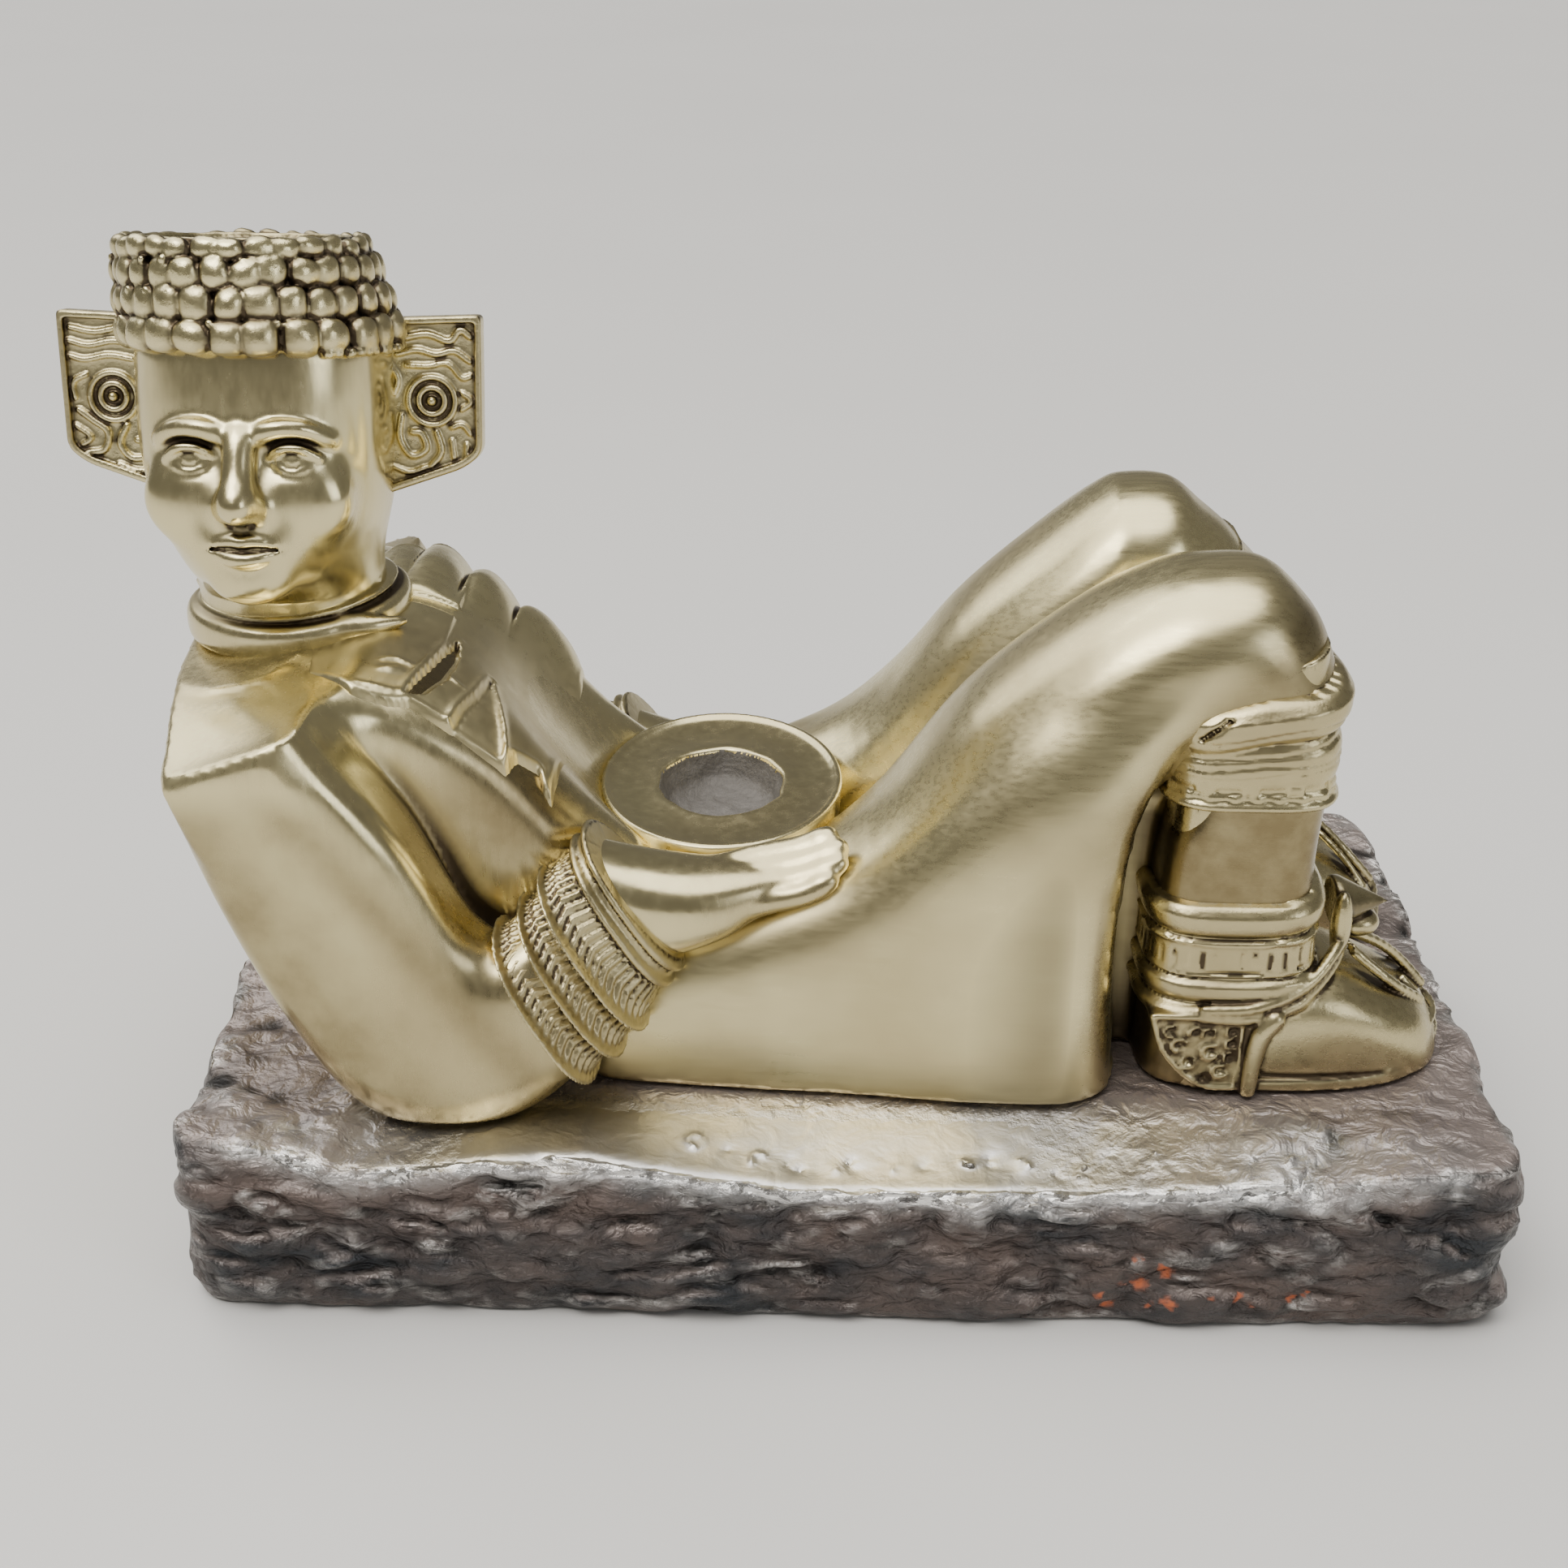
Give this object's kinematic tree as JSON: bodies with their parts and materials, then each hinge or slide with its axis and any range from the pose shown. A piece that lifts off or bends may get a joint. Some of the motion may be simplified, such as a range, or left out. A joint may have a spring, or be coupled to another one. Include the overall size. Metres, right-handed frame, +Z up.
{
  "type": "chac mool figure",
  "caption": "Reclining metal chac mool figure with a turned head, beaded headdress and a shallow bowl on its belly, on a rough dark rock plinth.",
  "frame": {"origin": "middle of the plinth's flat underside", "axes": "+Z up from the underside, +X from the head end to the feet, -Y towards the side the face looks to"},
  "size_m": [0.3384, 0.1825, 0.2327],
  "materials": {
    "polished_brass": "polished pale gold metal with fine brushed scratches and brown tarnish in the recesses",
    "dark_rock": "rough dark brown-black patina, with silvery wear along the edges and a brassy sheen on top"
  },
  "bodies": {
    "root": {"figure": "polished_brass", "rock_plinth": "dark_rock"}
  },
  "joints": []
}
